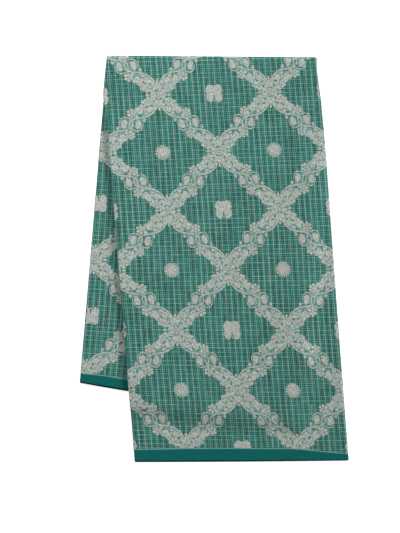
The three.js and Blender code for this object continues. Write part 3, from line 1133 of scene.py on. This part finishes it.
def winding(face):
    """Twice the signed area of a flat face: over 0 when it winds from x to y."""
    corners = [v.co for v in face.verts]
    return sum(a.x * b.y - b.x * a.y for a, b in zip(corners, corners[1:] + corners[:1]))


cell = lattice_cell()
print("one repeat of the trellis:", len(cell.polygons), "faces")

# %% Carry the trellis to the cloth
SEEN_FLOAT, WORN_FLOAT = (0.3, 0.26), (0.18, 0.16)  # lift and thickness: the ones underneath are flatter
CORD_WIDTH = 1.5  # the cord of paler threads where the field meets the border


def turns(across, down, surface):
    """Whether the cloth bends sharply there, so that a shape has to be cut finer to follow it."""
    at_side = across < LEAF_ROLL + 1 or across > STRIP - CLOSED_ROLL - 1
    return at_side or (surface is outer_point and UNDER_START - 1 < down < FOLD_RADIUS + 1)


def trellis(name, cloth, rows, float_size, down_range):
    """Repeats of the cell, cut to a stretch of cloth."""
    from_lattice, surface, across_range, columns = cloth
    lift, thick = float_size
    bm = bmesh.new()
    for column in columns:
        for row in rows:
            before = len(bm.verts)
            bm.from_mesh(cell)
            bm.verts.ensure_lookup_table()
            beside = (column * COLUMN_PITCH, row * ROW_PITCH, 0)
            bmesh.ops.translate(bm, verts=bm.verts[before:], vec=beside)
    if from_lattice is back_from_lattice:  # rows count upwards there
        bmesh.ops.reverse_faces(bm, faces=bm.faces)
    places = {}

    def held(vertex):
        """Its place on the cloth, and the nearest one in the stretch."""
        if vertex not in places:
            across, down = from_lattice(vertex.co.x / COLUMN_PITCH, vertex.co.y / ROW_PITCH)
            held_across = clamp_to(across, *across_range)
            ends = sorted(down_range(clamp_to(held_across / STRIP, 0, 1)))
            places[vertex] = (across, down), (held_across, clamp_to(down, *ends))
        return places[vertex]

    def outside(face):
        return all(held(v)[0] != held(v)[1] for v in face.verts)

    bmesh.ops.delete(bm, geom=[f for f in bm.faces if outside(f)], context="FACES")
    turning = [f for f in bm.faces if any(turns(*held(v)[0], surface) for v in f.verts)]
    cut = bmesh.ops.triangulate(bm, faces=turning)["faces"]
    edges = list({edge for face in cut for edge in face.edges})
    bmesh.ops.subdivide_edges(bm, edges=edges, cuts=2, use_grid_fill=True)
    places.clear()  # the cut made new vertices
    bmesh.ops.delete(bm, geom=[f for f in bm.faces if outside(f)], context="FACES")
    bmesh.ops.delete(bm, geom=[v for v in bm.verts if not v.link_faces], context="VERTS")
    uv_layer = bm.loops.layers.uv.new(UV_NAME)
    for face in bm.faces:
        for loop in face.loops:
            loop[uv_layer].uv = (loop.vert.co.x * MM, loop.vert.co.y * MM)
    for vertex in list(bm.verts):
        across, down = held(vertex)[1]
        rise = lerp(WORN_FLOAT[0], lift, ease(down, FOLD_RADIUS, FOLD_RELAX))
        vertex.co = Vector(surface(across, down, -rise - vertex.co.z)) * MM
    bmesh.ops.dissolve_degenerate(bm, dist=0.02 * MM, edges=bm.edges)
    obj = finish_object(name, bm, "brocade", "brocade_warm", smooth=False)
    return solidify(obj, thick)


# Each cloth: from the lattice to it, its surface, how far across the brocade goes, and the lattice's columns.
OUTER_WEAVE = (front_from_lattice, outer_point, (LEAF_END + 0.2, CLOSED_END - 0.4), range(-1, 3))
INNER_WEAVE = (back_from_lattice, inner_point, (LEAF_END + 0.2, STRIP - CLOSED_ROLL), range(0, 4))


def cord_top(fall, share):
    return border_at(fall, share) - CORD_WIDTH


# Where each one starts and ends at a share across.
STRETCHES = {
    "front": lambda at: (FOLD_RADIUS, cord_top("front", at)),
    "turn": lambda at: (UNDER_START, FOLD_RADIUS),
    "under": lambda at: (around(cord_top("back", at)), UNDER_START),
    "back": lambda at: (INNER_TOP, cord_top("back", at)),
}

# Each shell's brocade: name, cloth, rows of the lattice, lift and thickness.
BROCADES = {
    "front_field": ("front", OUTER_WEAVE, range(-1, 4), SEEN_FLOAT),
    "fold_turn": ("turn", OUTER_WEAVE, range(-1, 1), WORN_FLOAT),
    "under_field": ("under", OUTER_WEAVE, range(-4, 0), WORN_FLOAT),
    "back_field": ("back", INNER_WEAVE, range(-2, 3), SEEN_FLOAT),
}
brocade = {}
for shell, (name, *settings) in BROCADES.items():
    brocade[shell] = trellis("brocade_" + name, *settings, STRETCHES[name])
    print("brocade_" + name, len(brocade[shell].data.polygons), "faces")

# %% [markdown]
# ## The cord above each border
#
# Where the field ends, a few paler threads lie side by side and stand a little proud of both cloths. Each
# cord is a narrow grid with a rounded back, laid along the border's upper line.

# %% Cords
CORD_RISE = 0.24


def cord_line(name, cloth, rows):
    """rows(share, t) runs over the cord's width for t from 0 to 1."""
    surface, lattice, across_range = cloth

    def place(s, t):
        across = lerp(*across_range, s)
        down = rows(clamp_to(across / STRIP, 0, 1), t)
        rise = CORD_RISE * math.sin(math.pi * lerp(0.12, 0.88, t))
        return across, down, surface(across, down, -rise)

    return solidify(finish_object(name, laid_grid(150, 4, lattice, place), "cord_thread"), CORD_RISE / 2)


def cord_rows(fall):
    return lambda share, t: border_at(fall, share) - CORD_WIDTH * (1 - t)


def under_cord_rows(share, t):
    return around(border_at("back", share)) + CORD_WIDTH * t


cords = {
    "front_border": cord_line("cord_front", OUTER, cord_rows("front")),
    "back_border": cord_line("cord_back", INNER, cord_rows("back")),
    "under_border": cord_line("cord_under", OUTER, under_cord_rows),
}
print("cords:", ", ".join(cord.name for cord in cords.values()))

# %% [markdown]
# ## Riding and replacing
#
# Cloth has no joints, so every piece rides on the one body. Each shell takes the place of the solid with
# its name.

for obj in (*brocade.values(), *cords.values()):
    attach(obj, "root")
for name, obj in outer.items():
    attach(obj, "root")
    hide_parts(name)
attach(layers, "root")
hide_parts("hidden_layers")

# %% [markdown]
# ## Floor and light
#
# The cloth is shown on a light table: a white sheet that glows a little, so that it stays white under the
# cloth's own shadow. A broad key far off to the right stands low enough to bring out the weave, and leaves
# a shade on the back fall along the front one's left edge. It is a sun lamp, so it is as strong on the left
# as on the right. A softbox at the upper left lights the top of the falls more than the hems. The
# surroundings are white and give a little light from all round.


# %% Light table
FLOOR_GLOW = 0.75


def floor_finish():
    material = new_material("floor_white")
    tree = material.node_tree
    shader = add(tree, "BsdfPrincipled")
    for socket, value in (
        ("Base Color", (0.9, 0.9, 0.9, 1)),
        ("Roughness", 0.9),
        ("Emission Color", (1, 1, 1, 1)),
        ("Emission Strength", FLOOR_GLOW),
    ):
        shader.inputs[socket].default_value = value
    plug(tree, shader.outputs[0], add(tree, "OutputMaterial").inputs["Surface"])
    return material


MATERIALS["floor_white"] = floor_finish()
floor_grid = bmesh.new()
bmesh.ops.create_grid(floor_grid, x_segments=4, y_segments=4, size=3)
floor = finish_object("floor", floor_grid, "floor_white", smooth=False)


# %% Lamps
KEY_FROM, KEY_SPREAD, KEY_POWER = Vector((1.84, 0.5, 1.0)), 18, 3.1
FILL_FROM, FILL_SIZE, FILL_POWER = Vector((-0.75, 0.9, 1.0)), 0.9, 14.0
SURROUNDINGS = 0.16


def lamp(name, kind, location, power, **settings):
    data = bpy.data.lights.new(name, kind)
    data.energy = power
    for key, value in settings.items():
        setattr(data, key, value)
    obj = bpy.data.objects.new(name, data)
    bpy.context.scene.collection.objects.link(obj)
    obj.location = location
    obj.rotation_euler = (-location).to_track_quat("-Z", "Y").to_euler()
    return obj


lamp("key", "SUN", KEY_FROM, KEY_POWER, angle=math.radians(KEY_SPREAD))
lamp("fill", "AREA", FILL_FROM, FILL_POWER, size=FILL_SIZE)


# %% Surroundings
def make_surroundings():
    """White to look at, but only a weak light on the cloth."""
    world = bpy.data.worlds.new("studio")
    world.use_nodes = True
    tree = world.node_tree
    tree.nodes.clear()
    seen = add(tree, "LightPath").outputs["Is Camera Ray"]
    background = add(tree, "Background")
    background.inputs["Color"].default_value = (1, 1, 1, 1)
    plug(tree, remap(tree, seen, 0, 1, SURROUNDINGS, 1.0, "LINEAR"), background.inputs["Strength"])
    plug(tree, background.outputs[0], add(tree, "OutputWorld").inputs["Surface"])
    bpy.context.scene.world = world


make_surroundings()
bpy.context.scene.view_settings.view_transform = "Standard"
